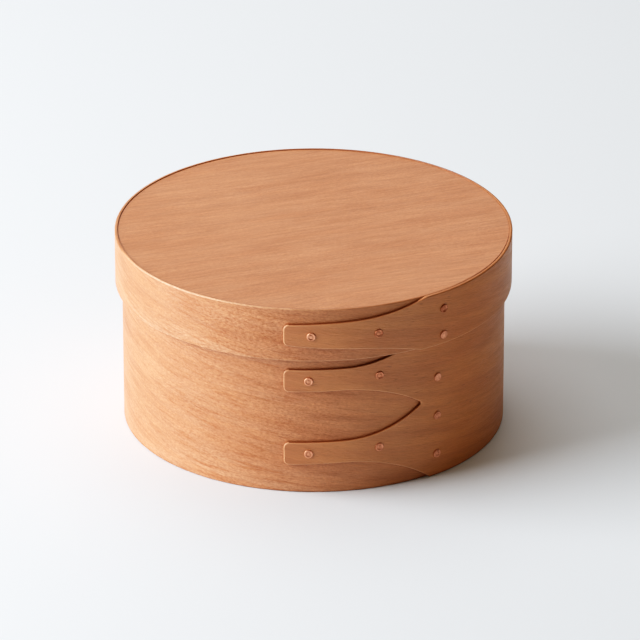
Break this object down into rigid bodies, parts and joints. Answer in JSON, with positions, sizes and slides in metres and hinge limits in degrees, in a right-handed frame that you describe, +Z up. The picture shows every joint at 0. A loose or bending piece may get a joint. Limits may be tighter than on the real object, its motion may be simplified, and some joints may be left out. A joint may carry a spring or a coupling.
{
  "type": "bentwood pantry box",
  "caption": "Round lidded box of thin bent wooden bands with finger laps held by copper tacks, flush let-in boards and a lift-off lid.",
  "frame": {"origin": "centre of the flat underside of the bottom board, on the axis of the round body", "axes": "+Z up, out of the lid; -Y to the front, where the finger laps are; +X to the right seen from the front"},
  "size_m": [0.1602, 0.162, 0.0811],
  "materials": {
    "band_wood": "satin oiled cherry, grain round the band",
    "board_wood": "satin oiled cherry, straight grain",
    "copper": "hand-set copper, lightly dulled"
  },
  "bodies": {
    "box": {"body_band": "band_wood", "bottom_board": "board_wood", "upper_finger_tip_tack": "copper", "upper_finger_mid_tack": "copper", "lower_finger_tip_tack": "copper", "lower_finger_mid_tack": "copper", "body_row_top_tack": "copper", "body_row_middle_tack": "copper", "body_row_bottom_tack": "copper"},
    "lid": {"lid_band": "band_wood", "lid_board": "board_wood", "lid_finger_tip_tack": "copper", "lid_finger_mid_tack": "copper", "lid_row_top_tack": "copper", "lid_row_bottom_tack": "copper"}
  },
  "joints": [
    {"name": "lid_lift", "type": "slide", "parent": "box", "child": "lid", "axis": [0, 0, 1], "range_m": [0, 0.1]}
  ]
}
